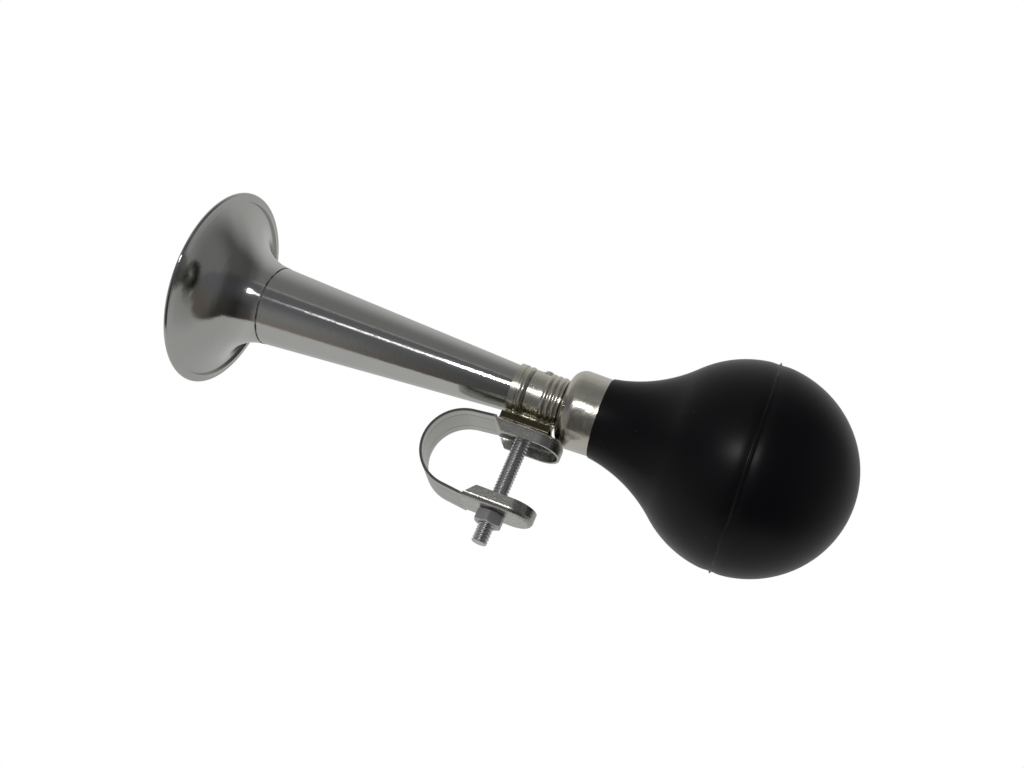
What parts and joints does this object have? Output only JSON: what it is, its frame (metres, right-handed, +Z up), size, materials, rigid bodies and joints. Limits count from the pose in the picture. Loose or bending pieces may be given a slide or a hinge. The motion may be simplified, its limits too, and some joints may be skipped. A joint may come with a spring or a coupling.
{
  "type": "bicycle bulb horn",
  "caption": "Bulb horn for a handlebar: a spun metal trumpet on a pressed strap clamp with a sliding bolt, blown by a round rubber bulb through a brass reed.",
  "frame": {"origin": "centre of the clamp's handlebar loop", "axes": "+Y along the handlebar, +X along the horn from its bell to its bulb, +Z up, with the clamp below the horn"},
  "size_m": [0.2136, 0.066, 0.0833],
  "materials": {
    "chrome": "mirror polished",
    "nickel": "bright nickel plate",
    "strap_steel": "satin plated strip",
    "zinc": "zinc plated",
    "brass": "machined brass",
    "washer_rubber": "matt",
    "bulb_rubber": "satin moulded rubber"
  },
  "bodies": {
    "clamp": {"clamp_strap": "strap_steel"},
    "bolt": {"clamp_bolt": "zinc"},
    "nut": {"clamp_nut": "zinc"},
    "horn": {"neck_band": "nickel", "horn_tube": "chrome", "bell": "chrome", "neck_sleeve": "brass", "reed_carrier": "brass", "reed_shallot": "brass", "reed_wedge": "brass"},
    "reed": {"reed_tongue": "brass"},
    "bulb_fitting": {"bulb_ferrule": "nickel", "neck_insert": "brass", "sealing_washer": "washer_rubber"},
    "bulb": {"bulb": "bulb_rubber"}
  },
  "joints": [
    {"name": "horn_swivel", "type": "hinge", "parent": "clamp", "child": "bolt", "pos_m": [0.01475, 0, 0], "axis": [0, 0, 1], "range_deg": [-60, 60]},
    {"name": "nut_run", "type": "slide", "parent": "bolt", "child": "nut", "axis": [0, 0, -1], "range_m": [0, 0.012]},
    {"name": "channel_slide", "type": "slide", "parent": "bolt", "child": "horn", "axis": [1, 0, 0], "range_m": [-0.0032, 0.015]},
    {"name": "bulb_unscrew", "type": "slide", "parent": "horn", "child": "bulb_fitting", "axis": [1, 0, 0], "range_m": [0, 0.025]},
    {"name": "bulb_squeeze", "type": "slide", "parent": "bulb_fitting", "child": "bulb", "axis": [-1, 0, 0], "range_m": [0, 0.012], "stiffness_N_per_m": 1500, "deforming": ["bulb"]},
    {"name": "reed_beat", "type": "hinge", "parent": "horn", "child": "reed", "pos_m": [0.03245, 0, 0.02678], "axis": [0, 1, 0], "range_deg": [0, 2.3], "stiffness_Nm_per_rad": 0.005, "deforming": ["reed_tongue"]}
  ]
}
